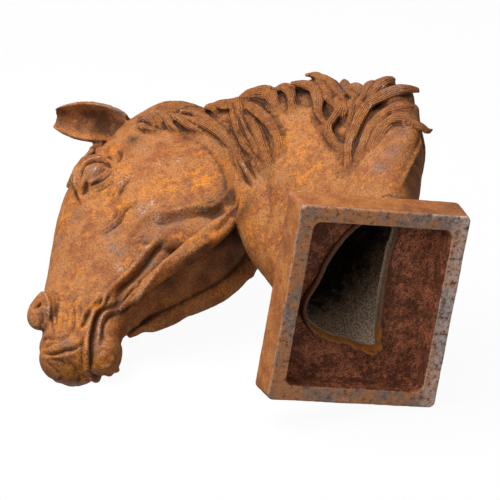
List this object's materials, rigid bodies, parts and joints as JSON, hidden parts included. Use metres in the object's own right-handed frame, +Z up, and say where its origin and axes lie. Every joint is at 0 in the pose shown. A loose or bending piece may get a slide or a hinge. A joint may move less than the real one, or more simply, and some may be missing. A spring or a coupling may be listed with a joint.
{
  "type": "horse head statue",
  "caption": "Hollow cast iron horse head and neck, turned to its left and looking down, set in a rectangular open-bottomed plinth, with a rusted skin.",
  "frame": {"origin": "middle of the whole work in X and Y, on the floor under the plinth's rim", "axes": "+Z up through the standing work; -Y is the chest side of the neck and the plinth's front; +X is the horse's left, the side the head turns to. The plinth's long side lies along Y."},
  "size_m": [0.3582, 0.342, 0.5124],
  "materials": {
    "horse_head": "rough orange-brown rust",
    "plinth": "rough red-brown rust, worn grey on the rim"
  },
  "bodies": {
    "root": {"horse_head": "horse_head", "plinth": "plinth"}
  },
  "joints": []
}
